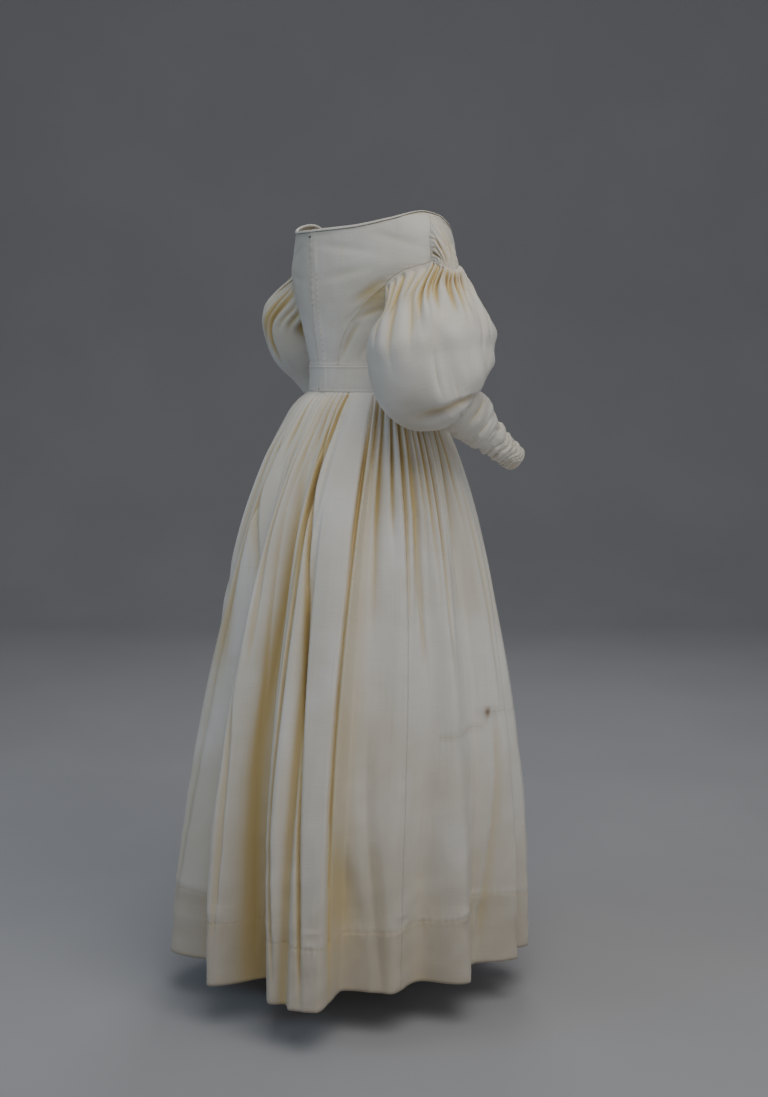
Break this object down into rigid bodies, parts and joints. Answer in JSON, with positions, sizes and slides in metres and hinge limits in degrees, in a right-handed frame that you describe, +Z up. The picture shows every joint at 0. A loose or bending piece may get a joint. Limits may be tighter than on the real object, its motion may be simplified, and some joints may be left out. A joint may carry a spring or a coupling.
{
  "type": "wedding dress",
  "caption": "Historic 1830s-style wedding dress: fitted back-closing bodice, wide neck, gathered caps, full elbow puffs, close lower sleeves and a long gathered skirt.",
  "frame": {"origin": "middle of the waist seam, where the wearer carries the dress", "axes": "+Z up the body, -Y the way the wearer faces, -X the wearer's right"},
  "size_m": [0.666, 0.7063, 1.2983],
  "materials": {
    "silk": "ivory silk with a soft sheen",
    "dark_metal": "blackened wire"
  },
  "bodies": {
    "root": {"back_left": "silk", "back_right": "silk", "side_left": "silk", "side_right": "silk", "front": "silk", "waistband": "silk", "neck_binding": "silk", "skirt_back_left": "silk", "skirt_back_right": "silk", "skirt_side_left": "silk", "skirt_side_right": "silk", "skirt_front": "silk", "sleeve_cap_left": "silk", "sleeve_cap_right": "silk", "sleeve_puff_left": "silk", "sleeve_puff_right": "silk", "sleeve_lower_left": "silk", "sleeve_lower_right": "silk", "hook_neck": "dark_metal", "hook_waist": "dark_metal"}
  },
  "joints": []
}
